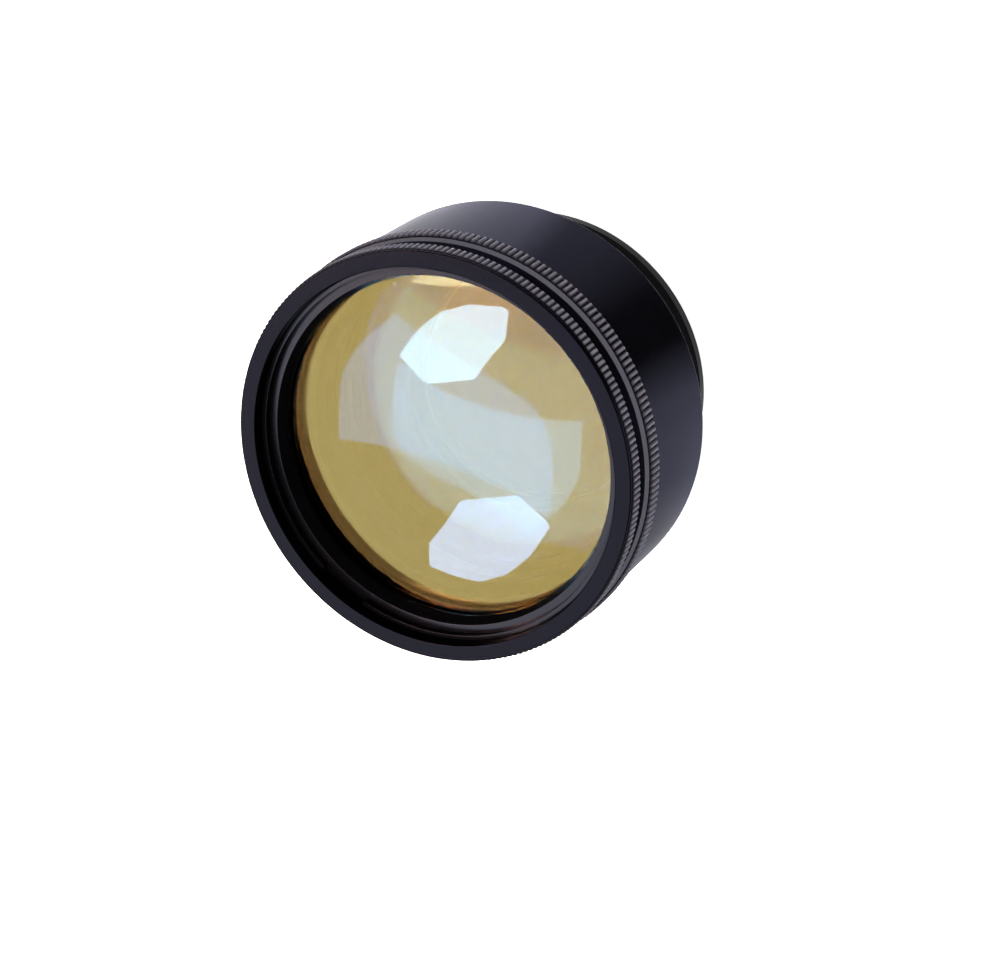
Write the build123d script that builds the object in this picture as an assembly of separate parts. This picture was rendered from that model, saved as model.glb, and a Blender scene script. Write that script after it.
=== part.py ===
from build123d import *
import math
import os

# An f-theta scan lens: four fused silica elements and a flat protective window in a turned, black anodised
# aluminium barrel. The optical axis is Z. Z = 0 is the entrance end, where the tail that screws into the scan head
# stops, and the exit end points up (+Z). Radii are built up from the mounting thread outwards, and heights from the
# entrance end upwards, so that a piece moves with those that carry it. All sizes are in millimetres.

# ---- fits shared by all pieces ----
thread_play = 0.05          # radial play between a male and a female thread, modelled at their major radius
slip = 0.10                 # radial play of a glass element or a pilot in its bore
end_play = 0.5              # free length left behind a screwed-in piece
edge_break = 0.30           # turned edges
fine_break = 0.15           # edges of glass and of small rings
gasket_height = 0.60        # gaskets at the glass they clamp
ring_step = 1.0             # thread of a retaining ring beyond the glass it clamps
ring_lap = 1.2              # overlap of a retaining ring on the glass it clamps
seal_width = 1.5            # free diameter of the O-ring section
seal_height = 1.3           # O-ring section across its two sealing faces
seal_side_room = 0.15       # room beside an O-ring in its groove
slot_width = 3.0            # spanner slots of the inner retaining rings
slot_depth = 1.5

# ---- tail of the barrel, and mounting shoulder ----
mount_thread_radius = 42.5  # M85 x 1
mount_thread_depth = 0.6
thread_chamfer = 0.5
mount_relief_depth = 1.2
mount_relief_length = 2.5
tail_land_length = 3.4
tail_length = 23.5          # entrance end to the shoulder
tail_wall = 5.5             # mounting thread to the entrance cell
relief_wall = 3.8           # relief to the thread of the meniscus ring

# ---- head of the barrel ----
barrel_wall = 2.9           # window cell thread to the plain body
barrel_web = 2.0            # web between the entrance cell and the meniscus lens
nose_step = 1.5             # front edge of the smooth nose, inside the plain body
nose_length = 2.6
barrel_grip_height = 0.8    # crest of the straight knurl above the plain body
barrel_grip_length = 4.6
barrel_grip_teeth = 208

# ---- window cell: the short knurled ring that is unscrewed to change the window ----
face_width = 4.0            # flat exit face, from the mouth out
cell_land_length = 0.9      # smooth land between the exit face and the knurl
cell_grip_height = 0.55
cell_grip_teeth = 216
cell_head_length = 4.5
cell_neck_step = 0.7
cell_neck_length = 3.0
cell_wall = 1.5             # between the mouth and the male thread
cell_thread_length = 5.0
cell_lip = 3.0              # seat of the window to the inner end of the cell
cell_ledge = 2.1            # exit lens ring to the pilot of the cell
cell_seal_offset = 1.0      # inner end of the cell to its O-ring groove
pilot_wall = 1.6            # window to the pilot of the cell
grip_root_clearance = 0.1   # root of both knurls above the plain turning beside them

# ---- window ring: stepped, with two wide spanner slots in its rim ----
window_ring_recess = 3.3    # exit face down to the rim
window_rim_width = 1.2
window_rim_height = 2.0
window_ledge_width = 1.9
window_cone_width = 1.0
window_cone_height = 3.2
window_ring_height = 6.1
window_slot_width = 12.8
window_slot_turn = 102.75   # direction of the spanner slots, in degrees about Z
window_thickness = 4.0

# ---- exit lens: biconvex, flatter on its inner face ----
exit_front_curve = 170.0
exit_rear_curve = 440.0
exit_centre = 10.2
exit_gap = 1.4              # vertex to the window cell
exit_ledge = 2.5            # positive lens to exit lens

# ---- positive lens: meniscus, convex towards the exit ----
positive_front_curve = 150.0
positive_rear_curve = 300.0
positive_centre = 9.0
positive_gap = 0.9          # vertex to the exit lens
positive_seat_width = 2.5
positive_ledge = 3.5        # meniscus ring to positive lens
spacer_wall = 1.8

# ---- meniscus lens: strongly curved, convex towards the exit ----
meniscus_front_curve = 85.0
meniscus_rear_curve = 110.0
meniscus_centre = 5.8
meniscus_gap = 3.1          # vertex to the positive lens
meniscus_seat_width = 3.5
meniscus_ring_clearance = 1.3   # positive lens to the meniscus ring

# ---- entrance cell and lens: biconcave ----
entrance_recess = 0.8       # entrance end of the barrel to the face of the cell
entrance_ring_recess = 0.5
entrance_ring_height = 2.4
entrance_cell_wall = 10.0   # entrance lens to the edge of its cell
entrance_lens_edge = 7.0
entrance_seat_width = 2.5
entrance_front_curve = 160.0
entrance_rear_curve = 140.0
entrance_lip = 2.5
entrance_seal_inset = 2.9   # edge of the cell to the middle of its O-ring
spanner_hole_radius = 1.5
spanner_hole_depth = 2.5
spanner_holes = 4


def sag(curve, radius):
    """Drop of a spherical face below its vertex. A curve above zero is convex towards +Z, one below zero concave."""
    return curve - math.copysign(math.sqrt(curve**2 - radius**2), curve)


# ---- radii, from the mounting thread outwards ----
mount_relief_radius = mount_thread_radius - mount_relief_depth
tail_land_radius = mount_thread_radius - mount_thread_depth
entrance_cell_radius = mount_thread_radius - tail_wall
entrance_lens_radius = entrance_cell_radius - entrance_cell_wall
entrance_seat_inner = entrance_lens_radius - entrance_seat_width
entrance_ring_radius = entrance_lens_radius + ring_step
entrance_ring_bore = entrance_seat_inner - 0.5
entrance_seal_radius = entrance_cell_radius - entrance_seal_inset
meniscus_ring_radius = mount_relief_radius - relief_wall
meniscus_radius = meniscus_ring_radius - ring_step
meniscus_seat_inner = meniscus_radius - meniscus_seat_width
meniscus_ring_bore = meniscus_radius - ring_lap
barrel_aperture_radius = meniscus_seat_inner - 0.5
positive_radius = meniscus_ring_radius + positive_ledge
positive_seat_inner = positive_radius - positive_seat_width
exit_radius = positive_radius + exit_ledge
exit_ring_radius = exit_radius + ring_step
exit_ring_bore = exit_radius - ring_lap
spacer_bore = positive_radius - spacer_wall
exit_seat_inner = spacer_bore - slip
cell_pilot_radius = exit_ring_radius + cell_ledge
window_radius = cell_pilot_radius - pilot_wall
cell_mouth_radius = window_radius + ring_step
cell_thread_radius = cell_mouth_radius + cell_wall
cell_neck_radius = cell_thread_radius + cell_neck_step
face_radius = cell_mouth_radius + face_width
cell_grip_radius = face_radius + cell_grip_height
window_rim_radius = cell_mouth_radius - window_rim_width
window_lip_radius = window_rim_radius - window_ledge_width
window_throat_radius = window_lip_radius - window_cone_width
cell_aperture_radius = window_throat_radius + 0.7
window_seal_radius = (cell_aperture_radius + window_radius) / 2
barrel_radius = cell_thread_radius + barrel_wall
barrel_grip_radius = barrel_radius + barrel_grip_height
nose_radius = barrel_radius - nose_step

# ---- heights, from the entrance end upwards ----
shoulder_z = tail_length
entrance_face_z = entrance_recess
entrance_ring_z = entrance_face_z + entrance_ring_recess
entrance_ring_top_z = entrance_ring_z + entrance_ring_height
entrance_rear_z = entrance_ring_top_z + gasket_height
entrance_seat_z = entrance_rear_z + entrance_lens_edge
entrance_cell_top_z = entrance_seat_z + entrance_lip
meniscus_seat_z = entrance_cell_top_z + barrel_web
meniscus_rear_vertex_z = meniscus_seat_z + sag(meniscus_rear_curve, meniscus_seat_inner)
meniscus_vertex_z = meniscus_rear_vertex_z + meniscus_centre
meniscus_gasket_top_z = meniscus_vertex_z - sag(meniscus_front_curve, meniscus_ring_bore) + gasket_height
positive_rear_vertex_z = meniscus_vertex_z + meniscus_gap
positive_seat_z = positive_rear_vertex_z - sag(positive_rear_curve, positive_seat_inner)
meniscus_ring_top_z = positive_seat_z - meniscus_ring_clearance
positive_vertex_z = positive_rear_vertex_z + positive_centre
exit_rear_vertex_z = positive_vertex_z + positive_gap
exit_seat_z = exit_rear_vertex_z + sag(exit_rear_curve, exit_seat_inner)
exit_vertex_z = exit_rear_vertex_z + exit_centre
exit_gasket_top_z = exit_vertex_z - sag(exit_front_curve, exit_ring_bore) + gasket_height
cell_end_z = exit_vertex_z + exit_gap
pilot_floor_z = cell_end_z - end_play
exit_ring_top_z = pilot_floor_z - end_play
window_rear_z = cell_end_z + cell_lip
window_front_z = window_rear_z + window_thickness
window_ring_z = window_front_z + gasket_height
window_rim_z = window_ring_z + window_ring_height
window_ledge_z = window_rim_z - window_rim_height
front_z = window_rim_z + window_ring_recess
cell_shoulder_z = front_z - cell_head_length - cell_neck_length
cell_thread_end_z = cell_shoulder_z - cell_thread_length
grip_front_z = cell_shoulder_z - nose_length
grip_rear_z = grip_front_z - barrel_grip_length


def turned(*corners):
    """Solid of revolution about Z. A corner is (radius, height), or (radius, height, break) for a broken edge."""
    points = []
    for i, (radius, height, *cut) in enumerate(corners):
        here = Vector(radius, height)
        if not cut:
            points.append(here)
            continue
        for near in (corners[i - 1], corners[(i + 1) % len(corners)]):
            away = (Vector(near[0], near[1]) - here).normalized()
            points.append(here + away * cut[0])
    return revolve(Plane.XZ * make_face(Polyline(*points, close=True)), Axis.Z)


def spherical_arc(curve, vertex_z, inner, outer):
    """Profile of a spherical face, from one distance off the axis to another."""
    radii = (inner, (inner + outer) / 2, outer)
    return ThreePointArc(*[(radius, vertex_z - sag(curve, radius)) for radius in radii])


def revolved(*path):
    """Solid of revolution about Z. The path holds arcs and (radius, height) points, joined by straight lines."""
    edges = []
    ends = [(part, part) if isinstance(part, tuple) else (part @ 0, part @ 1) for part in path]
    for i, part in enumerate(path):
        if not isinstance(part, tuple):
            edges.append(part)
        edges.append(Line(ends[i][1], ends[(i + 1) % len(path)][0]))
    return revolve(Plane.XZ * make_face(Wire(edges)), Axis.Z)


def knurled(body, crest_radius, depth, teeth, low_z, high_z):
    """Cuts straight V grooves around a band, which leaves narrow lands between them."""
    land_share = 0.26
    reach = 1.5
    half_width = math.pi * crest_radius / teeth * (1 - land_share)
    slope = half_width / depth
    root = crest_radius - depth
    vee = Polyline((root, 0), (crest_radius + reach, slope * (depth + reach)),
                   (crest_radius + reach, -slope * (depth + reach)), close=True)
    groove = Pos(0, 0, low_z) * extrude(make_face(vee), high_z - low_z)
    return body - PolarLocations(0, teeth) * groove


def slotted(ring, width, low_z, high_z, inner, outer, turn=0.0):
    """Cuts two opposite spanner slots across the end of a ring, between two heights."""
    block = Pos(0, 0, (low_z + high_z) / 2) * Box(2 * outer + 1, width, high_z - low_z)
    across = block - Pos(0, 0, (low_z + high_z) / 2) * Cylinder(inner - 1, high_z - low_z)
    return ring - Rot(0, 0, turn) * across


def squeezed_seal(mean_radius, mean_z, along_z):
    """O-ring whose round section is flattened between two faces, across Z or across the radius."""
    section = Circle(seal_width / 2)
    free, held = 2 * seal_width, seal_height
    section = section & (Rectangle(free, held) if along_z else Rectangle(held, free))
    return revolve(Plane.XZ * Pos(mean_radius, mean_z) * section, Axis.Z)


def barrel():
    """One-piece barrel: nose, knurled grip, plain body, shoulder, threaded tail, and stepped bore for the lenses."""
    mouth_thread = cell_thread_radius + thread_play
    cell_pilot_bore = cell_pilot_radius + slip
    exit_thread = exit_ring_radius + thread_play
    exit_pocket = exit_radius + slip
    exit_thread_end_z = exit_gasket_top_z - gasket_height / 2
    positive_pocket = positive_radius + slip
    meniscus_thread = meniscus_ring_radius + thread_play
    meniscus_pocket = meniscus_radius + slip
    meniscus_thread_end_z = meniscus_gasket_top_z - gasket_height / 2
    mouth_end_z = cell_thread_end_z - end_play
    entrance_thread = entrance_cell_radius + thread_play
    relief_z = shoulder_z - mount_relief_length
    thread_end_z = tail_land_length
    body = turned(
        # outside, from the front end to the tail
        (nose_radius, cell_shoulder_z, fine_break),
        (barrel_radius, grip_front_z),
        (barrel_grip_radius, grip_front_z - barrel_grip_height),
        (barrel_grip_radius, grip_rear_z, edge_break),
        (barrel_radius, grip_rear_z),
        (barrel_radius, shoulder_z, edge_break),
        (mount_relief_radius, shoulder_z),
        (mount_relief_radius, relief_z),
        (mount_thread_radius, relief_z, thread_chamfer),
        (mount_thread_radius, thread_end_z, thread_chamfer),
        (tail_land_radius, thread_end_z),
        (tail_land_radius, 0, edge_break),
        # bore, from the tail to the front end
        (entrance_thread, 0, edge_break),
        (entrance_thread, entrance_cell_top_z),
        (barrel_aperture_radius, entrance_cell_top_z, fine_break),
        (barrel_aperture_radius, meniscus_seat_z, fine_break),
        (meniscus_pocket, meniscus_seat_z),
        (meniscus_pocket, meniscus_thread_end_z, fine_break),
        (meniscus_thread, meniscus_thread_end_z),
        (meniscus_thread, positive_seat_z, edge_break),
        (positive_pocket, positive_seat_z),
        (positive_pocket, exit_seat_z, fine_break),
        (exit_pocket, exit_seat_z),
        (exit_pocket, exit_thread_end_z, fine_break),
        (exit_thread, exit_thread_end_z),
        (exit_thread, pilot_floor_z, edge_break),
        (cell_pilot_bore, pilot_floor_z),
        (cell_pilot_bore, mouth_end_z, edge_break),
        (mouth_thread, mouth_end_z),
        (mouth_thread, cell_shoulder_z, edge_break),
    )
    return knurled(body, barrel_grip_radius, barrel_grip_height - grip_root_clearance, barrel_grip_teeth,
                   grip_rear_z - edge_break, grip_front_z + edge_break)


def window_cell():
    """Knurled ring that holds the window: face, grip, neck, male thread, pilot with its O-ring groove, window seat."""
    seal_half = seal_width / 2 + seal_side_room
    groove_floor = cell_pilot_radius + slip - seal_height
    groove_low_z = cell_end_z + cell_seal_offset
    groove_high_z = groove_low_z + 2 * seal_half
    seat_groove_z = window_rear_z - seal_height
    mouth = cell_mouth_radius + thread_play
    window_bore = window_radius + slip
    thread_floor_z = window_ring_z - gasket_height / 2
    land_z = front_z - cell_land_length
    head_rear_z = front_z - cell_head_length
    body = turned(
        # outside, from the exit face to the inner end
        (face_radius, front_z, edge_break),
        (face_radius, land_z),
        (cell_grip_radius, land_z - cell_grip_height),
        (cell_grip_radius, head_rear_z, fine_break),
        (cell_neck_radius, head_rear_z),
        (cell_neck_radius, cell_shoulder_z, fine_break),
        (cell_thread_radius, cell_shoulder_z),
        (cell_thread_radius, cell_thread_end_z, edge_break),
        (cell_pilot_radius, cell_thread_end_z),
        (cell_pilot_radius, groove_high_z),
        (groove_floor, groove_high_z),
        (groove_floor, groove_low_z),
        (cell_pilot_radius, groove_low_z),
        (cell_pilot_radius, cell_end_z, edge_break),
        # inside, from the inner end to the exit face
        (cell_aperture_radius, cell_end_z, edge_break),
        (cell_aperture_radius, window_rear_z, fine_break),
        (window_seal_radius - seal_half, window_rear_z),
        (window_seal_radius - seal_half, seat_groove_z),
        (window_seal_radius + seal_half, seat_groove_z),
        (window_seal_radius + seal_half, window_rear_z),
        (window_bore, window_rear_z),
        (window_bore, thread_floor_z, fine_break),
        (mouth, thread_floor_z),
        (mouth, front_z, edge_break),
    )
    return knurled(body, cell_grip_radius, cell_grip_height - grip_root_clearance, cell_grip_teeth,
                   head_rear_z - edge_break, land_z + edge_break)


def cell_o_ring():
    mean = cell_pilot_radius + slip - seal_height / 2
    return squeezed_seal(mean, cell_end_z + cell_seal_offset + seal_width / 2 + seal_side_room, along_z=False)


def window_retaining_ring():
    """Threaded ring over the window: rim, flat ledge, and a cone down to the throat, with two spanner slots."""
    ring = turned(
        (cell_mouth_radius, window_rim_z, fine_break),
        (cell_mouth_radius, window_ring_z, edge_break),
        (window_throat_radius, window_ring_z, fine_break),
        (window_throat_radius, window_ledge_z - window_cone_height),
        (window_lip_radius, window_ledge_z, fine_break),
        (window_rim_radius, window_ledge_z),
        (window_rim_radius, window_rim_z, fine_break),
    )
    return slotted(ring, window_slot_width, window_ledge_z, window_rim_z, window_lip_radius, cell_mouth_radius,
                   window_slot_turn)


def window_gasket():
    inner = window_throat_radius + end_play
    outer = window_radius - end_play
    return turned((inner, window_ring_z), (outer, window_ring_z), (outer, window_front_z), (inner, window_front_z))


def protective_window():
    return turned((0, window_front_z), (window_radius, window_front_z, fine_break),
                  (window_radius, window_rear_z, fine_break), (0, window_rear_z))


def window_o_ring():
    return squeezed_seal(window_seal_radius, window_rear_z - seal_height / 2, along_z=True)


def clamp_ring(male, bore, top_z, low_z):
    """Plain threaded retaining ring with two spanner slots in its upper end."""
    ring = turned((male, top_z, fine_break), (male, low_z, fine_break), (bore, low_z, fine_break),
                  (bore, top_z, fine_break))
    return slotted(ring, slot_width, top_z - slot_depth, top_z, bore, male)


def fitted_ring(inner, outer, top_z, curve, vertex_z):
    """Ring that is flat on top and lapped to the convex glass below it."""
    return revolved(spherical_arc(curve, vertex_z, inner, outer), (outer, top_z), (inner, top_z))


def lens_element(radius, upper_face, lower_face):
    """Glass element between two spherical faces, drawn from the axis out, each with a flat seat up to the rim."""
    top_z = (upper_face @ 1).Y
    low_z = (lower_face @ 1).Y
    lower_points = [lower_face @ t for t in (1, 0.5, 0)]
    rim = [(radius, low_z + fine_break), (radius - fine_break, low_z)]
    if (upper_face @ 1).X < radius:
        rim = [(radius - fine_break, top_z), (radius, top_z - fine_break)] + rim
    return revolved(upper_face, *rim, ThreePointArc(*lower_points))


def exit_lens_retaining_ring():
    return clamp_ring(exit_ring_radius, exit_ring_bore, exit_ring_top_z, exit_gasket_top_z)


def exit_lens_gasket():
    return fitted_ring(exit_ring_bore + slip, exit_radius - slip, exit_gasket_top_z,
                       exit_front_curve, exit_vertex_z)


def exit_lens():
    """Biconvex: a flat seat around its inner face rests on the spacer and on the step of the barrel."""
    return lens_element(exit_radius,
                        spherical_arc(exit_front_curve, exit_vertex_z, 0, exit_radius),
                        spherical_arc(-exit_rear_curve, exit_rear_vertex_z, 0, exit_seat_inner))


def exit_lens_spacer():
    return fitted_ring(spacer_bore, positive_radius, exit_seat_z,
                       positive_front_curve, positive_vertex_z)


def positive_lens():
    return lens_element(positive_radius,
                        spherical_arc(positive_front_curve, positive_vertex_z, 0, positive_radius),
                        spherical_arc(positive_rear_curve, positive_rear_vertex_z, 0, positive_seat_inner))


def meniscus_retaining_ring():
    return clamp_ring(meniscus_ring_radius, meniscus_ring_bore, meniscus_ring_top_z, meniscus_gasket_top_z)


def meniscus_gasket():
    return fitted_ring(meniscus_ring_bore + slip, meniscus_radius - slip, meniscus_gasket_top_z,
                       meniscus_front_curve, meniscus_vertex_z)


def meniscus_lens():
    return lens_element(meniscus_radius,
                        spherical_arc(meniscus_front_curve, meniscus_vertex_z, 0, meniscus_radius),
                        spherical_arc(meniscus_rear_curve, meniscus_rear_vertex_z, 0, meniscus_seat_inner))


def entrance_cell():
    """Cell that screws into the tail and holds the entrance lens, with spanner holes in its outer face."""
    seal_half = seal_width / 2 + seal_side_room
    groove_z = entrance_cell_top_z - seal_height
    pocket = entrance_lens_radius + slip
    thread = entrance_ring_radius + thread_play
    thread_top_z = entrance_rear_z + gasket_height
    body = turned(
        # outside, from the inner end to the entrance face
        (entrance_cell_radius, entrance_cell_top_z, edge_break),
        (entrance_cell_radius, entrance_face_z, edge_break),
        # inside, from the entrance face to the inner end
        (thread, entrance_face_z, edge_break),
        (thread, thread_top_z),
        (pocket, thread_top_z),
        (pocket, entrance_seat_z),
        (entrance_seat_inner, entrance_seat_z, fine_break),
        (entrance_seat_inner, entrance_cell_top_z, edge_break),
        # groove for the face seal
        (entrance_seal_radius - seal_half, entrance_cell_top_z),
        (entrance_seal_radius - seal_half, groove_z),
        (entrance_seal_radius + seal_half, groove_z),
        (entrance_seal_radius + seal_half, entrance_cell_top_z),
    )
    hole = Pos(0, 0, entrance_face_z + spanner_hole_depth / 2) * Cylinder(spanner_hole_radius,
                                                                              spanner_hole_depth)
    return body - PolarLocations((thread + entrance_cell_radius) / 2, spanner_holes) * hole


def entrance_cell_o_ring():
    return squeezed_seal(entrance_seal_radius, entrance_cell_top_z - seal_height / 2, along_z=True)


def entrance_lens():
    """Biconcave, with a flat seat around each face."""
    inner = entrance_seat_inner
    front_vertex_z = entrance_seat_z - sag(entrance_front_curve, inner)
    rear_vertex_z = entrance_rear_z + sag(entrance_rear_curve, inner)
    return lens_element(entrance_lens_radius,
                        spherical_arc(-entrance_front_curve, front_vertex_z, 0, inner),
                        spherical_arc(entrance_rear_curve, rear_vertex_z, 0, inner))


def entrance_lens_gasket():
    inner = entrance_seat_inner + slip
    outer = entrance_lens_radius - slip
    return turned((inner, entrance_rear_z), (outer, entrance_rear_z), (outer, entrance_ring_top_z),
                  (inner, entrance_ring_top_z))


def entrance_lens_retaining_ring():
    low_z = entrance_ring_z
    flare = entrance_ring_height / 2
    ring = turned((entrance_ring_radius, entrance_ring_top_z, fine_break), (entrance_ring_radius, low_z, fine_break),
                  (entrance_ring_bore + flare, low_z), (entrance_ring_bore, low_z + flare),
                  (entrance_ring_bore, entrance_ring_top_z))
    return slotted(ring, slot_width, low_z, low_z + flare, entrance_ring_bore, entrance_ring_radius)


pieces = [
    barrel, window_cell, cell_o_ring, window_retaining_ring, window_gasket, protective_window, window_o_ring,
    exit_lens_retaining_ring, exit_lens_gasket, exit_lens, exit_lens_spacer, positive_lens,
    meniscus_retaining_ring, meniscus_gasket, meniscus_lens, entrance_cell, entrance_cell_o_ring,
    entrance_lens, entrance_lens_gasket, entrance_lens_retaining_ring,
]

os.makedirs("parts", exist_ok=True)
for piece in pieces:
    export_step(piece(), f"parts/{piece.__name__}.step")
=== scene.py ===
import math

import bpy
import numpy as np
from mathutils import Matrix, Vector


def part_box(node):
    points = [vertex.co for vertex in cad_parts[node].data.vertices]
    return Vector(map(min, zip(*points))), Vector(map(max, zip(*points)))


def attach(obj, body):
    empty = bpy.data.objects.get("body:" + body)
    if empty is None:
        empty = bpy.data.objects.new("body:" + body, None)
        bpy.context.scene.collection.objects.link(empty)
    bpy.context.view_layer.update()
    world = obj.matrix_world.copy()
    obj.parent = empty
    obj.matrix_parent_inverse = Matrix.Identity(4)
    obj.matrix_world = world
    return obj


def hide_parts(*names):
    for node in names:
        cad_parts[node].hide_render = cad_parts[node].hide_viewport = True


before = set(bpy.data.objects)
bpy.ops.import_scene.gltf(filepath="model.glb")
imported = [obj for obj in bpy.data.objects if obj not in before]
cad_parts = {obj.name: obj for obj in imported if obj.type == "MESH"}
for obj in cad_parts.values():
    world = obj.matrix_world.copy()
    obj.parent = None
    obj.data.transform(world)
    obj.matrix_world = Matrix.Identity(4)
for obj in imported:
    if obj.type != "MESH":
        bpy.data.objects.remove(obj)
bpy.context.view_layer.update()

mm = 0.001  # the pieces are drawn in millimetres, and everything else is in metres


def reach(node):  # lowest height, highest height and radius of a node
    low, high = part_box(node)
    return low.z / mm, high.z / mm, high.x / mm


def roundedLoop(corners, steps=3):
    # Each corner is (radius, height, rounding). The rounding is an arc tangent to both sides of the corner.
    points = []
    for i, (r, z, *cut) in enumerate(corners):
        here = np.array([r, z], float)
        if not cut or cut[0] <= 0:
            points.append(here[None])
            continue
        before = np.array(corners[i - 1][:2], float) - here
        after = np.array(corners[(i + 1) % len(corners)][:2], float) - here
        before /= np.linalg.norm(before)
        after /= np.linalg.norm(after)
        half = math.acos(np.clip(before @ after, -1, 1)) / 2
        back = cut[0] / math.tan(half)
        inward = (before + after) / np.linalg.norm(before + after)
        middle = here + inward * cut[0] / math.sin(half)
        start, end = here + before * back - middle, here + after * back - middle
        spread = math.acos(np.clip(start @ end / cut[0] ** 2, -1, 1))
        t = np.linspace(0, 1, steps + 1)[:, None]
        swing = np.sin((1 - t) * spread) * start + np.sin(t * spread) * end
        points.append(middle + swing / math.sin(spread))
    return np.concatenate(points)


def arc(curve, vertex, inner, outer, count=24):
    # Spherical face: height = vertex - (curve - sqrt(curve^2 - r^2)). A curve below zero is concave upwards.
    r = np.linspace(inner, outer, count)
    drop = curve - np.copysign(np.sqrt(curve ** 2 - r ** 2), curve)
    return np.stack([r, vertex - drop], axis=1)


def ringFaces(rows, columns, flip):
    # Quads of a grid that closes on itself in both directions.
    i, j = np.meshgrid(np.arange(rows), np.arange(columns), indexing="ij")
    a = i * columns + j
    b = i * columns + (j + 1) % columns
    c = (i + 1) % rows * columns + (j + 1) % columns
    d = (i + 1) % rows * columns + j
    quads = np.stack([a, b, c, d], axis=-1).reshape(-1, 4)
    return quads[:, ::-1] if flip else quads


def meshPiece(name, points, faces, material, sharp=32):
    mesh = bpy.data.meshes.new(name)
    mesh.from_pydata(points.reshape(-1, 3) * mm, [], faces)
    mesh.polygons.foreach_set("use_smooth", np.ones(len(mesh.polygons), bool))
    mesh.set_sharp_from_angle(angle=math.radians(sharp))
    mesh.materials.append(material)
    mesh.update()
    piece = bpy.data.objects.new(name, mesh)
    bpy.context.scene.collection.objects.link(piece)
    return piece


def turnedPiece(name, loop, material, angles=None, shape=None, count=240):
    # Profile turned about the axis: x = r cos(turn), y = r sin(turn).
    # shape(turn, r, z) may change turn, r and z.
    angles = np.linspace(0, 2 * np.pi, count, endpoint=False) if angles is None else angles
    turn, r = np.meshgrid(angles, loop[:, 0], indexing="ij")
    z = np.broadcast_to(loop[:, 1], r.shape)
    if shape:
        turn, r, z = shape(turn, r, z)
    points = np.stack([r * np.cos(turn), r * np.sin(turn), z], axis=-1)
    area = np.sum(loop[:, 0] * np.roll(loop[:, 1], -1) - np.roll(loop[:, 0], -1) * loop[:, 1])
    piece = meshPiece(name, points, ringFaces(len(angles), len(loop), area > 0), material)
    # Broad faces rule the normals at their corners, so that they stay flat beside small roundings.
    weighted = piece.modifiers.new("weighted", "WEIGHTED_NORMAL")
    weighted.keep_sharp = True
    return piece


def lensPiece(name, upper, rim, lower, finishes, count=180):
    # Profile from the axis out over the upper face, down the rim and back to the axis. It is turned about the
    # axis, x = r cos(turn), y = r sin(turn), with one point at each pole.
    # The upper face, the rim and the lower face take the three finishes in turn.
    loop = np.concatenate([upper, rim, lower])
    body = loop[1:-1]
    turn = np.linspace(0, 2 * np.pi, count, endpoint=False)[:, None]
    ring = np.stack([body[:, 0] * np.cos(turn), body[:, 0] * np.sin(turn),
                     np.broadcast_to(body[:, 1], (count, len(body)))], axis=-1)
    points = np.concatenate([ring.reshape(-1, 3), [[0, 0, loop[0, 1]], [0, 0, loop[-1, 1]]]])
    i, j = np.meshgrid(np.arange(count), np.arange(len(body) - 1), indexing="ij")
    a = i * len(body) + j
    b = (i + 1) % count * len(body) + j
    quads = np.stack([a, a + 1, b + 1, b], axis=-1).reshape(-1, 4)
    k = np.arange(count)
    first, following = k * len(body), (k + 1) % count * len(body)
    top = np.full(count, count * len(body))
    capTop = np.stack([top, first, following], axis=-1)
    capLow = np.stack([top + 1, following + len(body) - 1, first + len(body) - 1], axis=-1)
    faces = quads.tolist() + capTop.tolist() + capLow.tolist()
    piece = meshPiece(name, points, faces, finishes[0])
    piece.data.materials.append(finishes[1])
    piece.data.materials.append(finishes[2])
    band = np.where(j < len(upper) - 2, 0, np.where(j < len(upper) + len(rim) - 1, 1, 2)).ravel()
    index = np.concatenate([band, np.zeros(count, int), np.full(count, 2)]).astype(np.int32)
    piece.data.polygons.foreach_set("material_index", index)
    # The seams between the finishes are sharp.
    ends = np.zeros(len(piece.data.edges) * 2, np.int32)
    piece.data.edges.foreach_get("vertices", ends)
    ends = ends.reshape(-1, 2)
    column = np.where(ends < count * len(body), ends % len(body), -1)
    seamColumns = (len(upper) - 2, len(upper) + len(rim) - 1)
    seam = (column[:, 0] == column[:, 1]) & np.isin(column[:, 0], seamColumns)
    sharp = np.zeros(len(ends), bool)
    marked = piece.data.attributes["sharp_edge"].data
    marked.foreach_get("value", sharp)
    marked.foreach_set("value", sharp | seam)
    return piece


def gripAngles(teeth, land, root):
    # Shares of one tooth: the two edges of the land, a softened point below each, and the two sides of the
    # groove floor.
    soft = 0.07
    side, floor = land / 2, root / 2
    one = np.array([-side, side, side + soft, 0.5 - floor, 0.5 + floor, 1 - side - soft])
    return (np.arange(teeth)[:, None] + one).ravel() * 2 * np.pi / teeth


def gripShape(teeth, land, root, crest, depth, low, high):
    # Groove radius falls from the crest to the root over each side of the tooth, as 0.85 of the share of the
    # way plus 0.15 of its square root. The profile stays inside it.
    def shape(turn, r, z):
        phase = np.abs((turn * teeth / (2 * np.pi) + 0.5) % 1 - 0.5)
        fall = np.clip((phase - land / 2) / (0.5 - root / 2 - land / 2), 0, 1)
        groove = crest - depth * (0.85 * fall + 0.15 * np.sqrt(fall))
        inBand = (z > low - 1e-6) & (z < high + 1e-6)
        return turn, np.where(inBand, np.minimum(r, groove), r), z
    return shape


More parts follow.
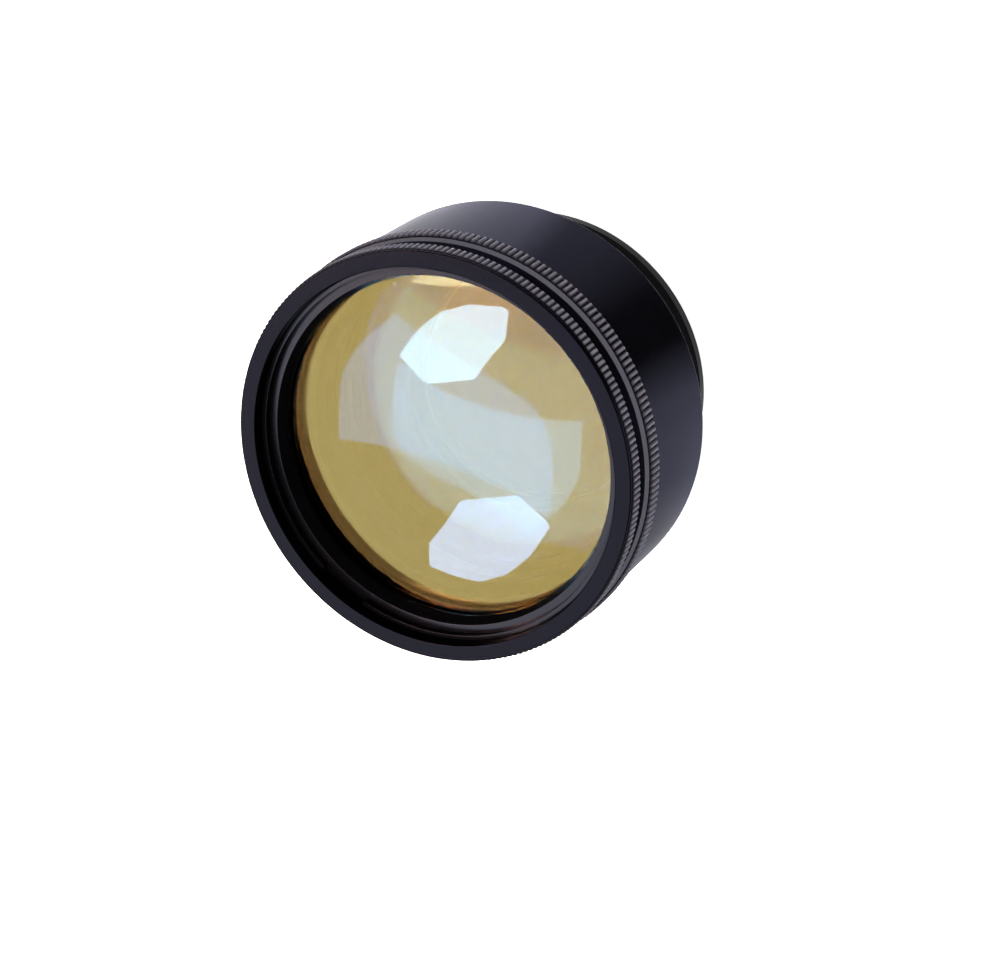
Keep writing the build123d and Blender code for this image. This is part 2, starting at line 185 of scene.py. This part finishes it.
class Flow:
    def __init__(self, tree, socket=None):
        self.tree = tree
        self.socket = socket

    def make(self, kind, settings=None, inputs=None, output=0):
        node = self.tree.nodes.new(kind)
        for key, value in (settings or {}).items():
            setattr(node, key, value)
        for key, value in (inputs or {}).items():
            if isinstance(value, Flow):
                self.tree.links.new(value.socket, node.inputs[key])
            else:
                node.inputs[key].default_value = value
        return Flow(self.tree, node.outputs[output])

    def calc(self, operation, first, second=0.0):
        return self.make("ShaderNodeMath", {"operation": operation}, {0: first, 1: second})

    def bump(self, height, distance, under=None):
        inputs = {"Strength": 1.0, "Distance": distance, "Height": height}
        return self.make("ShaderNodeBump", inputs=inputs if under is None else dict(inputs, Normal=under))

    def __add__(self, other):
        return self.calc("ADD", self, other)

    def __radd__(self, other):
        return self.calc("ADD", other, self)

    def __sub__(self, other):
        return self.calc("SUBTRACT", self, other)

    def __rsub__(self, other):
        return self.calc("SUBTRACT", other, self)

    def __mul__(self, other):
        return self.calc("MULTIPLY", self, other)

    def __rmul__(self, other):
        return self.calc("MULTIPLY", other, self)

    def blend(self, first, second):
        return self.make("ShaderNodeMix", {"data_type": "RGBA"}, {0: self, 6: first, 7: second}, 2)


def newMaterial(name, **constants):
    material = bpy.data.materials.new(name)
    material.use_nodes = True
    shader = material.node_tree.nodes["Principled BSDF"]
    for key, value in constants.items():
        shader.inputs[key.replace("_", " ")].default_value = value
    flow = Flow(material.node_tree)
    place = flow.make("ShaderNodeTexCoord", output=3)
    return material, shader, flow, place


def feed(flow, shader, **links):
    for key, value in links.items():
        flow.tree.links.new(value.socket, shader.inputs[key.replace("_", " ")])


def turnedMetal(name, look):
    # Turning marks follow the tool: their phase is distance from the axis plus height, so they ring faces.
    material, shader, flow, place = newMaterial(
        name, Specular_IOR_Level=look["shine"], Specular_Tint=look["tint"])
    flat = flow.make("ShaderNodeVectorMath", {"operation": "MULTIPLY"}, {0: place, 1: (1, 1, 0)})
    radius = flow.make("ShaderNodeVectorMath", {"operation": "LENGTH"}, {0: flat}, 1)
    height = flow.make("ShaderNodeSeparateXYZ", inputs={0: place}, output=2)
    travel = (radius + height) * (1 / mm)
    marks = flow.make("ShaderNodeTexNoise", {"noise_dimensions": "1D"},
                      {"W": travel, "Scale": look["markScale"], "Detail": 3.0, "Roughness": 0.7})
    cloud = flow.make("ShaderNodeTexNoise", inputs={"Vector": place, "Scale": 90.0, "Detail": 4.0})
    pores = flow.make("ShaderNodeTexNoise", inputs={"Vector": place, "Scale": 4200.0, "Detail": 2.0})
    colour = cloud.blend(look["dark"], look["light"])
    for low, high, start, full, tone in look.get("paintedHighlightZones", ()):
        # Painted highlight zone: a lighter tone painted where light would put highlights. Weight of a zone: 1
        # between its two heights, times the rise of the radius from start to full.
        rise = flow.make("ShaderNodeMapRange", inputs={"Value": radius, "From Min": start, "From Max": full})
        highlightWeight = rise * height.calc("GREATER_THAN", height, low) * height.calc("LESS_THAN", height, high)
        colour = highlightWeight.blend(colour, tone)
    rough = look["rough"] + (cloud - 0.5) * look["roughSpread"] + (marks - 0.5) * look["roughSpread"]
    fine = flow.bump(pores, look["poreDepth"])
    feed(flow, shader, Base_Color=colour, Roughness=rough, Normal=flow.bump(marks, look["markDepth"], fine))
    return material


def softMaterial(name, look):
    material, shader, flow, place = newMaterial(name, Specular_IOR_Level=look["shine"])
    grain = flow.make("ShaderNodeTexNoise", inputs={"Vector": place, "Scale": look["grain"], "Detail": 3.0})
    feed(flow, shader, Base_Color=grain.blend(look["dark"], look["light"]),
         Normal=flow.bump(grain, look["relief"]), Roughness=look["rough"] + (grain - 0.5) * 0.2)
    return material


def coatedGlass(name, look):  # polished, so its detail is the interference film
    return newMaterial(
        name, Transmission_Weight=1.0, IOR=look["ior"], Base_Color=(*look["tint"], 1.0),
        Thin_Film_Thickness=look["film"], Thin_Film_IOR=look["filmIor"], Roughness=0.0)[0]


def paintedHighlightBand(low, high, crest, fade, tone):
    # A painted highlight zone: its two heights, the radii where its lighter tone starts and where it is full,
    # and the tone.
    return low * mm, high * mm, (crest - fade) * mm, crest * mm, tone


# Painted highlight on the knurl crests, fading down the flanks: a lighter tone stands in for the glints of
# light on them.
gripPaintedHighlight = (0.12, 0.12, 0.145, 1)
# Painted highlight on the band between the knurl and the nose: a lighter tone stands in for the sheen of
# light there.
nosePaintedHighlight = (0.09, 0.09, 0.11, 1)
blackLook = {
    "dark": (0.0006, 0.0006, 0.0009, 1), "light": (0.0014, 0.0014, 0.002, 1), "shine": 0.050,
    "tint": (0.60, 0.60, 1.0, 1), "rough": 0.14, "roughSpread": 0.08, "markScale": 6.0,
    "markDepth": 0.000003, "poreDepth": 0.000002}
innerBlack = turnedMetal("innerBlack", {
    "dark": (0.0015, 0.0015, 0.002, 1), "light": (0.003, 0.003, 0.0035, 1), "shine": 0.14,
    "tint": (0.72, 0.72, 1.0, 1), "rough": 0.18, "roughSpread": 0.06, "markScale": 4.0,
    "markDepth": 0.000004, "poreDepth": 0.000002})
innerMatt = turnedMetal("innerMatt", {
    "dark": (0.0015, 0.0015, 0.002, 1), "light": (0.003, 0.003, 0.0035, 1), "shine": 0.04,
    "tint": (0.85, 0.85, 1.0, 1), "rough": 0.45, "roughSpread": 0.06, "markScale": 4.0, "markDepth": 0.00001,
    "poreDepth": 0.000002})
rubber = softMaterial("sealRubber", {
    "dark": (0.010, 0.010, 0.010, 1), "light": (0.022, 0.022, 0.022, 1), "shine": 0.4,
    "grain": 900.0, "relief": 0.00001, "rough": 0.55})
polymer = softMaterial("gasketPolymer", {
    "dark": (0.020, 0.020, 0.020, 1), "light": (0.040, 0.040, 0.040, 1), "shine": 0.4,
    "grain": 600.0, "relief": 0.00001, "rough": 0.45})
# Interference film on each polished face: refractive index and thickness in nanometres. The lower faces are
# met from inside the glass, where the renderer divides the film's index by that of the glass, so they are
# thicker by as much.
glassIor = 1.45
films = {
    "rose": (1.20, 86.0), "olive": (1.30, 257.0 * glassIor),
    "blue": (1.30, 160.0), "teal": (1.37, 170.0 * glassIor),
    "gold": (1.30, 260.0), "jade": (1.30, 128.0 * glassIor),
    "dark": (1.20, 110.0), "rust": (1.20, 102.0 * glassIor), "lowDark": (1.20, 110.0 * glassIor)}
filmTints = {"blue": (0.25, 0.49, 0.92)}
coats = {}
for filmName, (filmIor, thickness) in films.items():
    coats[filmName] = coatedGlass(filmName + "Coat", {
        "ior": glassIor, "film": thickness, "filmIor": filmIor, "tint": filmTints.get(filmName, (1, 1, 1))})
groundRim = softMaterial("groundRim", {
    "dark": (0.010, 0.010, 0.010, 1), "light": (0.018, 0.018, 0.018, 1), "shine": 0.3,
    "grain": 700.0, "relief": 0.00001, "rough": 0.6})
print("materials ready")


barrelLook = {
    "shoulder": 23.5, "body": 50.4, "nose": 48.9, "noseLength": 2.6,
    "grip": 51.2, "gripLength": 4.6, "gripDepth": 0.7, "teeth": 208, "land": 0.24, "root": 0.10,
    "relief": 41.3, "reliefLength": 2.5, "tail": 41.9, "edge": 0.3,
    "cellThread": 47.55, "cellThreadDepth": 5.5, "cellPilot": 46.7, "exitRing": 44.55, "exitRingDepth": 5.4,
    "ringPlay": 0.5, "exitBore": 43.6, "positiveBore": 41.1, "meniscusRing": 37.55, "meniscusRingStart": 2.5,
    "meniscusBore": 36.6, "meniscusWall": 1.9, "stop": 32.5, "entranceBore": 37.05,
    # The grip fade, nose fade and nose band size the painted highlights on the knurl crests and the nose.
    "gripHighlightFade": 0.65, "noseHighlightFade": 0.2, "noseHighlightBand": 1.1}


def makeBarrel(v):
    low, high, _ = reach("barrel")
    cellTop = reach("entrance_cell")[1]
    gripTop = high - v["noseLength"]
    gripLow = gripTop - v["gripLength"]
    # Black anodised finish with painted highlights on the knurl crests and on the band below the nose.
    finish = turnedMetal("anodisedBlack", dict(blackLook, paintedHighlightZones=[
        paintedHighlightBand(gripLow, gripTop, v["grip"], v["gripHighlightFade"], gripPaintedHighlight),
        paintedHighlightBand(gripTop, gripTop + v["noseHighlightBand"], v["nose"], v["noseHighlightFade"], nosePaintedHighlight)]))
    e = v["edge"]
    positiveSeat = reach("positive_lens")[0]
    exitSeat = reach("exit_lens_spacer")[1]
    meniscusSeat = reach("meniscus_lens")[0]
    ringTop = reach("exit_lens_retaining_ring")[1] + v["ringPlay"]
    ringStart = ringTop - v["exitRingDepth"]
    threadStart = high - v["cellThreadDepth"]
    reliefLow = v["shoulder"] - v["reliefLength"]
    meniscusWall = meniscusSeat + v["meniscusWall"]
    outside = [
        (v["cellThread"], high, e), (v["nose"], high, 0.2), (v["body"], gripTop, 0.1),
        (v["grip"], gripTop - 0.8, 0.12), (v["grip"], gripTop - 1.6), (v["grip"], gripLow + 0.9),
        (v["grip"], gripLow, 0.3), (v["body"], gripLow, 0.08),
        (v["body"], v["shoulder"], e), (v["relief"], v["shoulder"], 0.2),
        (v["relief"], reliefLow, 0.2), (v["tail"], reliefLow, 0.2), (v["tail"], low, e)]
    inside = [
        (v["entranceBore"], low, e), (v["entranceBore"], cellTop), (v["stop"], cellTop),
        (v["stop"], meniscusWall), (v["meniscusBore"], meniscusWall),
        (v["meniscusRing"], meniscusSeat + v["meniscusRingStart"]), (v["meniscusRing"], positiveSeat),
        (v["positiveBore"], positiveSeat), (v["positiveBore"], exitSeat), (v["exitBore"], exitSeat),
        (v["exitBore"], ringStart), (v["exitRing"], ringStart), (v["exitRing"], ringTop, 0.25),
        (v["cellPilot"], ringTop), (v["cellPilot"], threadStart, 0.2), (v["cellThread"], threadStart)]
    loop = roundedLoop(outside + inside)
    angles = gripAngles(v["teeth"], v["land"], v["root"])
    shape = gripShape(v["teeth"], v["land"], v["root"], v["grip"], v["gripDepth"],
                      gripLow + 1e-3, gripTop - 1e-3)
    return turnedPiece("barrelBody", loop, finish, angles, shape)


barrelBody = makeBarrel(barrelLook)
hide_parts("barrel")
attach(barrelBody, "root")
print("barrel", len(barrelBody.data.polygons))


threadLook = {
    "crest": 42.5, "root": 41.86, "pitch": 1.0, "low": 3.4, "high": 21.0, "chamfer": 0.6, "wall": 0.6,
    "count": 360}


def makeThread(v):
    # One start that climbs one pitch a turn. Across a pitch: land, slope down, narrow floor, slope up.
    across = np.array([-0.07, 0.07, 0.40, 0.60])
    level = np.array([v["crest"], v["crest"], v["root"], v["root"]])
    turns = int((v["high"] - v["low"]) / v["pitch"]) + 3
    steps = np.arange(v["count"] + 1) / v["count"]
    rise = (np.arange(-1, turns - 1)[:, None] + across).ravel()
    z = v["low"] + (rise[None, :] + steps[:, None]) * v["pitch"]
    r = np.broadcast_to(np.tile(level, turns), z.shape)
    z = np.clip(z, v["low"], v["high"])
    inset = np.minimum(z - v["low"], v["high"] - z)
    r = np.minimum(r, v["crest"] - np.clip(v["chamfer"] - inset, 0, None))
    turn = np.broadcast_to(steps[:, None] * 2 * np.pi, z.shape)
    outer = np.stack([r * np.cos(turn), r * np.sin(turn), z], axis=-1)
    inner = np.full(z[:, :1].shape, v["root"] - v["wall"])
    footX, footY = inner * np.cos(turn[:, :1]), inner * np.sin(turn[:, :1])
    foot = np.stack([footX, footY, np.full_like(inner, v["low"])], axis=-1)
    head = foot + [0, 0, v["high"] - v["low"]]
    points = np.concatenate([foot, outer, head], axis=1)
    rows, columns = points.shape[:2]
    i, j = np.meshgrid(np.arange(rows - 1), np.arange(columns), indexing="ij")
    a, b = i * columns + j, (i + 1) * columns + j
    c, d = (i + 1) * columns + (j + 1) % columns, i * columns + (j + 1) % columns
    return points, np.stack([a, b, c, d], axis=-1).reshape(-1, 4)


threadPoints, threadFaces = makeThread(threadLook)
mountThread = meshPiece("mountThread", threadPoints, threadFaces, barrelBody.data.materials[0], 25)
weld = mountThread.modifiers.new("weld", "WELD")
weld.merge_threshold = 1e-6
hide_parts("barrel")
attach(mountThread, "root")
print("thread", len(mountThread.data.polygons))


cellLook = {
    "face": 50.0, "mouth": 46.05, "land": 0.9, "grip": 50.55, "headLength": 4.5, "neck": 48.2,
    "neckLength": 3.0, "gripDepth": 0.45, "teeth": 216, "toothLand": 0.24, "root": 0.10, "edge": 0.28,
    "thread": 47.5, "threadLength": 5.0, "pilot": 46.6, "throat": 42.6, "windowBore": 45.1,
    # The grip fade sizes the painted highlight on the knurl crests.
    "threadRunOut": 0.3, "gripHighlightFade": 0.43}


def makeCell(v):
    low, high, _ = reach("window_cell")
    ringLow = reach("window_retaining_ring")[0]
    windowLow = reach("protective_window")[0]
    headLow = high - v["headLength"]
    shoulder = headLow - v["neckLength"]
    threadLow = shoulder - v["threadLength"]
    ringEnd = ringLow - v["threadRunOut"]
    # Black anodised finish with a painted highlight on the knurl crests.
    finish = turnedMetal("cellBlack", dict(blackLook, paintedHighlightZones=[
        paintedHighlightBand(headLow, high - v["land"], v["grip"], v["gripHighlightFade"], gripPaintedHighlight)]))
    e = v["edge"]
    corners = [
        (v["mouth"], high, e), (v["face"], high, e), (v["face"], high - v["land"], 0.06),
        (v["grip"], high - v["land"] - 0.55, 0.08), (v["grip"], high - v["land"] - 1.2),
        (v["grip"], headLow + 0.9), (v["grip"], headLow, 0.2), (v["neck"], headLow, 0.15),
        (v["neck"], shoulder, 0.15), (v["thread"], shoulder, 0.05), (v["thread"], threadLow, 0.3),
        (v["pilot"], threadLow, 0.05), (v["pilot"], low, 0.3), (v["throat"], low, 0.3),
        (v["throat"], windowLow, 0.15), (v["windowBore"], windowLow, 0.05), (v["windowBore"], ringEnd, 0.1),
        (v["mouth"], ringEnd, 0.05)]
    loop = roundedLoop(corners)
    angles = gripAngles(v["teeth"], v["toothLand"], v["root"])
    shape = gripShape(v["teeth"], v["toothLand"], v["root"], v["grip"], v["gripDepth"],
                      headLow + 1e-3, high - v["land"] - 1e-3)
    return turnedPiece("windowCell", loop, finish, angles, shape)


windowCell = makeCell(cellLook)
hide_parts("window_cell")
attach(windowCell, "root")
print("window cell", len(windowCell.data.polygons))


ringLook = {
    "outer": 46.0, "rim": 44.8, "rimHeight": 2.0, "lip": 42.9, "throat": 41.9, "cone": 3.2,
    "slotWidth": 12.8, "slotTurn": 102.75, "edge": 0.15}


def makeWindowRing(v):
    low, high, _ = reach("window_retaining_ring")
    ledge = high - v["rimHeight"]
    e = v["edge"]
    corners = [
        (v["outer"], low, e), (v["outer"], ledge + 0.01), (v["outer"], high, e), (v["rim"], high, e),
        (v["rim"], ledge, 0.06), (v["lip"], ledge, e), (v["throat"], ledge - v["cone"], 0.1),
        (v["throat"], low, e)]
    loop = roundedLoop(corners)
    half = v["slotWidth"] / 2
    part = math.asin(half / v["rim"])
    slotSteps = np.linspace(-1, 1, 9)
    rimSteps = np.linspace(0, 1, 112)
    # Two slots: columns inside each slot, then columns on the rim between them.
    side = np.concatenate([slotSteps * part, part + (np.pi - 2 * part) * rimSteps])
    inSlot = np.concatenate([np.ones(len(slotSteps)), np.zeros(len(rimSteps))])
    angles = np.concatenate([side, side + np.pi])
    cutting = np.concatenate([inSlot, inSlot])[:, None] > 0.5

    def shape(turn, r, z):
        local = turn - np.where(np.arange(len(angles))[:, None] >= len(side), np.pi, 0)
        # The walls of a slot are parallel, so their direction is asin(half / r) at every radius.
        edge = np.arcsin(half / r)
        inside = local / part * edge
        beyond = edge + (local - part) / (np.pi - 2 * part) * (np.pi - 2 * edge)
        straight = np.where(cutting, inside, beyond)
        turned = straight + (turn - local) + math.radians(v["slotTurn"])
        return turned, r, np.where(cutting, np.minimum(z, ledge), z)
    return turnedPiece("windowRing", loop, innerBlack, angles, shape)


windowRing = makeWindowRing(ringLook)
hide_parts("window_retaining_ring")
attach(windowRing, "root")
print("window ring", len(windowRing.data.polygons))


glassLook = {
    "window": {"radius": 45.0},
    "exit": {"radius": 43.5, "front": 170.0, "rear": 440.0, "seat": 39.1},
    "positive": {"radius": 41.0, "front": 150.0, "rear": 300.0, "rise": 2.481, "seat": 38.5},
    "meniscus": {"radius": 36.5, "front": 85.0, "rear": 110.0, "rise": 5.067, "seat": 33.0},
    "entrance": {"radius": 27.0, "front": 160.0, "rear": 140.0, "seat": 24.5}}


bevel = 0.15  # ground edge of each element


def makeWindow(v):
    low, high, _ = reach("protective_window")
    flat = 1e6  # curve of a flat face
    upper = arc(flat, high, 0, v["radius"] - bevel, 12)
    lower = arc(flat, low, 0, v["radius"] - bevel, 12)[::-1]
    rim = [[v["radius"], high - bevel], [v["radius"], low + bevel]]
    return lensPiece("windowGlass", upper, rim, lower, (coats["rose"], groundRim, coats["olive"]))


def makeExit(v):
    low, high, _ = reach("exit_lens")
    upper = arc(v["front"], high, 0, v["radius"], 40)
    lower = arc(-v["rear"], low, 0, v["seat"], 30)[::-1]
    seatZ = lower[0, 1]
    rim = [[v["radius"], seatZ + bevel], [v["radius"] - bevel, seatZ]]
    return lensPiece("exitLens", upper, rim, lower, (coats["blue"], groundRim, coats["teal"]))


def makePositive(v):
    low, high, _ = reach("positive_lens")
    upper = arc(v["front"], high, 0, v["radius"], 40)
    lower = arc(v["rear"], low + v["rise"], 0, v["seat"], 30)[::-1]
    rim = [[v["radius"], low + bevel], [v["radius"] - bevel, low]]
    return lensPiece("positiveLens", upper, rim, lower, (coats["gold"], groundRim, coats["jade"]))


def makeMeniscus(v):
    low, high, _ = reach("meniscus_lens")
    upper = arc(v["front"], high, 0, v["radius"], 40)
    lower = arc(v["rear"], low + v["rise"], 0, v["seat"], 30)[::-1]
    rim = [[v["radius"], low + bevel], [v["radius"] - bevel, low]]
    return lensPiece("meniscusLens", upper, rim, lower, (coats["dark"], groundRim, coats["rust"]))


def makeEntrance(v):
    low, high, _ = reach("entrance_lens")
    dropUpper = v["front"] - math.sqrt(v["front"] ** 2 - v["seat"] ** 2)
    dropLower = v["rear"] - math.sqrt(v["rear"] ** 2 - v["seat"] ** 2)
    upper = arc(-v["front"], high - dropUpper, 0, v["seat"], 24)
    lower = arc(v["rear"], low + dropLower, 0, v["seat"], 24)[::-1]
    r = v["radius"]
    rim = np.array([[r - bevel, high], [r, high - bevel], [r, low + bevel], [r - bevel, low]])
    return lensPiece("entranceLens", upper, rim, lower, (coats["dark"], groundRim, coats["lowDark"]))


for maker, key, node, slot in [
        (makeWindow, "window", "protective_window", "coated_window"),
        (makeExit, "exit", "exit_lens", "coated_lens"),
        (makePositive, "positive", "positive_lens", "coated_lens"),
        (makeMeniscus, "meniscus", "meniscus_lens", "coated_lens"),
        (makeEntrance, "entrance", "entrance_lens", "coated_lens")]:
    glassPiece = maker(glassLook[key])
    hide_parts(node)
    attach(glassPiece, "root")
print("glass ready")


# These keep the form of their CAD nodes and get a finish.
plainFinish = {
    "cell_o_ring": rubber, "window_o_ring": rubber, "entrance_cell_o_ring": rubber,
    "window_gasket": polymer, "exit_lens_gasket": polymer, "meniscus_gasket": polymer,
    "entrance_lens_gasket": polymer, "exit_lens_retaining_ring": innerMatt, "exit_lens_spacer": innerMatt,
    "meniscus_retaining_ring": innerMatt, "entrance_cell": innerMatt,
    "entrance_lens_retaining_ring": innerMatt}
for node, material in plainFinish.items():
    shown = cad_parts[node]
    shown.data.materials.clear()
    shown.data.materials.append(material)
print("plain rings ready")


# Lights are outlined by the directions of their corners, as (turn, height) in degrees: turn about the axis,
# from -Y towards +X, and height above the floor. The card on the table has stops for its tone and for its
# blue, as (turn, share), with the turn from +X towards +Y.
studio = {
    "world": 0.10, "floor": 0.86, "floorGlow": 0.9, "floorRadius": 4.0, "underCard": 0.0368,
    "softbox": {
        "outline": ((149.5, 53), (141.5, 57.5), (134, 62), (128, 67), (122.5, 73), (123.5, 74.5),
                    (142.5, 74.5), (153, 71), (161, 67), (158.5, 57.5), (153.5, 55)),
        "distance": 1.6, "power": 10.0, "layers": 4, "colour": (1.30, 0.76, 0.58, 1)},
    "strip": {
        "outline": ((152, 53.5), (152.5, 52), (159.5, 49.5), (167, 46.5), (170.5, 46), (174, 46), (182, 49),
                    (189, 51.5), (198, 52.5), (209, 51), (216.5, 59), (221, 64), (222, 67), (222, 75.5),
                    (205, 74), (190.5, 71.5), (173, 66), (165, 62), (159.5, 58)),
        "distance": 2.2, "power": 7.2, "layers": 1, "colour": (1, 1.03, 0.98, 1)},
    "topLight": {"place": (0.0, -0.2, 2.4), "size": 2.6, "power": 80.0},
    "table": {
        "inner": 0.0535, "outer": 1.5, "height": 0.0004,
        "tone": ((-180, 0.39), (-170, 0.5), (-156, 0.58), (-142, 0.86), (-127, 0.98), (-109, 0.04),
                 (-91, 0.07), (-76, 0.44), (-69, 0.53), (-56, 0.53), (-44, 1.18), (-10, 0.96), (-3, 0.84),
                 (60, 0.7), (120, 0.5), (180, 0.39)),
        "blue": ((-180, 1.16), (-155, 1.41), (-60, 1.48), (0, 1.1), (180, 1.16))}}


def direction(turn, height):  # x = sin(turn) cos(height), y = -cos(turn) cos(height), z = sin(height)
    turn, height = math.radians(turn), math.radians(height)
    return Vector((math.sin(turn) * math.cos(height), -math.cos(turn) * math.cos(height), math.sin(height)))


def emitter(name, strength, colour):
    material = bpy.data.materials.new(name)
    material.use_nodes = True
    tree = material.node_tree
    tree.nodes.clear()
    light = tree.nodes.new("ShaderNodeEmission")
    light.inputs["Color"].default_value = colour
    light.inputs["Strength"].default_value = strength
    clear = tree.nodes.new("ShaderNodeBsdfTransparent")  # lets the layers behind shine through
    both = tree.nodes.new("ShaderNodeAddShader")
    out = tree.nodes.new("ShaderNodeOutputMaterial")
    tree.links.new(light.outputs[0], both.inputs[0])
    tree.links.new(clear.outputs[0], both.inputs[1])
    tree.links.new(both.outputs[0], out.inputs["Surface"])
    return material


def disc(name, height, radius, material, sides=64):  # x = radius cos(turn), y = radius sin(turn)
    turn = np.linspace(0, 2 * np.pi, sides, endpoint=False)
    points = np.stack([radius * np.cos(turn), radius * np.sin(turn), np.full(sides, height)], axis=-1)
    mesh = bpy.data.meshes.new(name)
    mesh.from_pydata(points, [], [list(range(sides))])
    mesh.materials.append(material)
    made = bpy.data.objects.new(name, mesh)
    bpy.context.scene.collection.objects.link(made)


def lightSheet(name, v):
    # Each corner is its direction times the distance. The power of a bright light is shared out over layers,
    # one behind the other.
    corners = np.array([direction(*corner) for corner in v["outline"]])
    distances = v["distance"] + 0.01 * np.arange(v["layers"])
    points = distances[:, None, None] * corners
    faces = np.arange(v["layers"] * len(corners)).reshape(v["layers"], len(corners))
    mesh = bpy.data.meshes.new(name)
    mesh.from_pydata(points.reshape(-1, 3), [], faces.tolist())
    mesh.materials.append(emitter(name + "Light", v["power"], v["colour"]))
    sheet = bpy.data.objects.new(name, mesh)
    sheet.visible_camera = False
    bpy.context.scene.collection.objects.link(sheet)


world = bpy.data.worlds.new("studioWorld")
world.use_nodes = True
world.node_tree.nodes["Background"].inputs["Color"].default_value = (1, 1, 1, 1)
world.node_tree.nodes["Background"].inputs["Strength"].default_value = studio["world"]
bpy.context.scene.world = world

floorMaterial, floorShader, floorFlow, floorPlace = newMaterial(
    "paleFloor", Roughness=0.9, Specular_IOR_Level=0.1, Emission_Color=(1, 1, 1, 1),
    Emission_Strength=studio["floorGlow"])
floorGrain = floorFlow.make("ShaderNodeTexNoise", inputs={"Vector": floorPlace, "Scale": 30.0, "Detail": 3.0})
floorTones = [(tone, tone, tone, 1) for tone in (studio["floor"], studio["floor"] + 0.02)]
feed(floorFlow, floorShader, Base_Color=floorGrain.blend(*floorTones))
disc("floor", -0.0002, studio["floorRadius"], floorMaterial)

blackCard = softMaterial("blackCard", {
    "dark": (0.002, 0.002, 0.002, 1), "light": (0.004, 0.004, 0.004, 1), "shine": 0.0,
    "grain": 300.0, "relief": 0.00001, "rough": 0.8})
disc("underCard", 0.0001, studio["underCard"], blackCard)  # keeps the floor's light out of the glass

for name in ("softbox", "strip"):
    lightSheet(name, studio[name])

lampData = bpy.data.lights.new("topLight", "AREA")
lampData.shape = "DISK"
lampData.size = studio["topLight"]["size"]
lampData.energy = studio["topLight"]["power"]
lamp = bpy.data.objects.new("topLight", lampData)
lamp.location = studio["topLight"]["place"]
lamp.visible_glossy = lamp.visible_transmission = False
bpy.context.scene.collection.objects.link(lamp)


def tableCard(v):
    # Flat ring round the tail: x = r cos(turn), y = r sin(turn). Its tone changes with the turn, in straight
    # ramps between a few stops, and only reflections meet it.
    count = 180
    degrees = np.linspace(-180, 180, count, endpoint=False)
    turn = np.radians(degrees)[:, None]
    radius = np.array([v["inner"], v["outer"]])
    height = np.full((count, 2), v["height"])
    points = np.stack([radius * np.cos(turn), radius * np.sin(turn), height], axis=-1)
    i = np.arange(count)[:, None] * 2
    mesh = bpy.data.meshes.new("tableCard")
    mesh.from_pydata(points.reshape(-1, 3), [], ((i + [0, 1, 3, 2]) % (2 * count)).tolist())
    tone = np.interp(degrees, *zip(*v["tone"]))
    blue = tone * np.interp(degrees, *zip(*v["blue"]))
    tone = np.stack([tone, tone, blue, np.ones(count)], axis=-1)[:, None]
    colours = mesh.color_attributes.new("tone", "FLOAT_COLOR", "POINT")
    colours.data.foreach_set("color", np.broadcast_to(tone, (count, 2, 4)).ravel())
    material, shader, flow, _ = newMaterial(
        "tableCard", Base_Color=(0, 0, 0, 1), Specular_IOR_Level=0.0, Emission_Strength=1.0)
    feed(flow, shader, Emission_Color=flow.make("ShaderNodeAttribute", {"attribute_name": "tone"}))
    mesh.materials.append(material)
    card = bpy.data.objects.new("tableCard", mesh)
    bpy.context.scene.collection.objects.link(card)
    card.visible_camera = card.visible_diffuse = card.visible_transmission = card.visible_shadow = False


tableCard(studio["table"])
print("studio ready")


# Place is in millimetres. Tilt is from looking straight down towards looking along +Y, and roll is about the
# line of sight.
cameraLook = {"place": (-13.554, -328.629, 570.985), "tilt": 32.217, "roll": -128.558, "lens": 93.888}
cameraData = bpy.data.cameras.new("camera")
cameraData.sensor_width = 36.0
cameraData.lens = cameraLook["lens"]
cameraData.clip_start, cameraData.clip_end = 0.01, 20
camera = bpy.data.objects.new("camera", cameraData)
tilt = Matrix.Rotation(math.radians(cameraLook["tilt"]), 4, "X")
roll = Matrix.Rotation(math.radians(cameraLook["roll"]), 4, "Z")
camera.matrix_world = Matrix.Translation(Vector(cameraLook["place"]) * mm) @ tilt @ roll
bpy.context.scene.collection.objects.link(camera)
bpy.context.scene.camera = camera
bpy.context.scene.view_settings.view_transform = "Standard"
